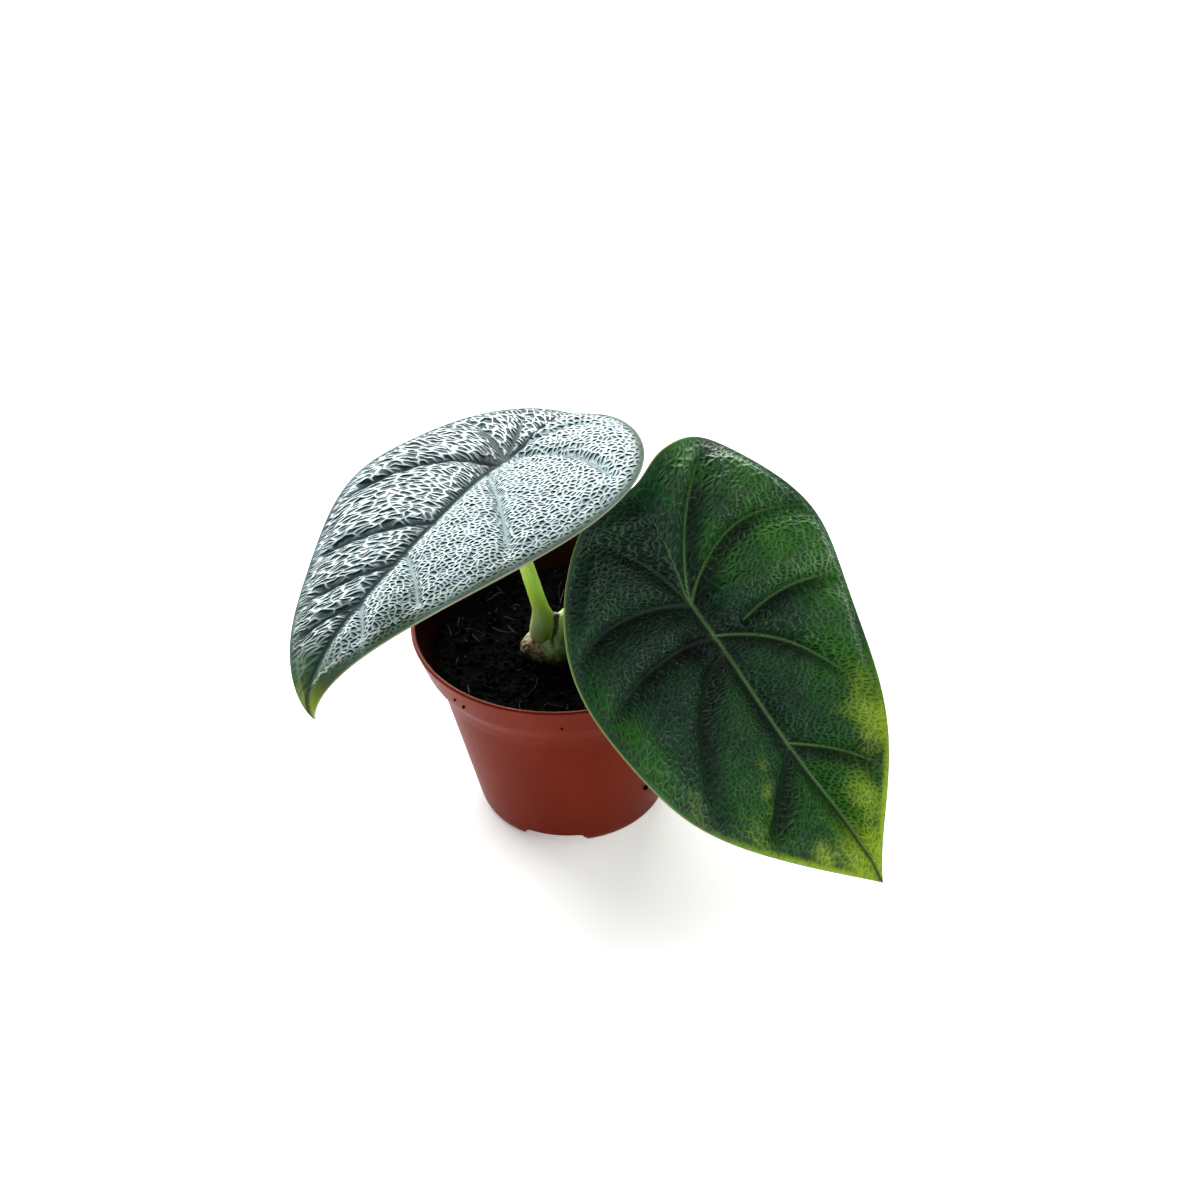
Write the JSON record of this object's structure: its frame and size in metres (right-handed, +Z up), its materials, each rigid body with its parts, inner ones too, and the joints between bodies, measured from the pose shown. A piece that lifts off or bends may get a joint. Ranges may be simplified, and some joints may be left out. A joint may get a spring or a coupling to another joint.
{
  "type": "potted alocasia plant",
  "caption": "Young potted alocasia with thick quilted heart-shaped leaves on short stalks rising from a corm in a small round tapered nursery pot.",
  "frame": {"origin": "centre of the part's bounding box in X and Y, on the surface that the pot stands on", "axes": "+Z up along the pot's axis, -Y toward the side where the hanging leaf covers the pot, +X to the right seen from there"},
  "size_m": [0.1076, 0.0888, 0.0893],
  "materials": {
    "pot_plastic": "terracotta-brown nursery plastic, satin",
    "soil": "dark crumbly peat with pale fibres",
    "corm": "pale green swollen base with tan flakes",
    "stalk": "glossy lime-green leaf stalk",
    "blade_silver": "thick rugose blade, silvery sheen on a fine raised net",
    "blade_green": "thick rugose dark green blade with yellow-green margin"
  },
  "bodies": {
    "root": {"pot": "pot_plastic", "soil": "soil", "corm": "corm", "petiole_left": "stalk", "petiole_right": "stalk", "leaf_left": "blade_silver", "leaf_right": "blade_green"}
  },
  "joints": []
}
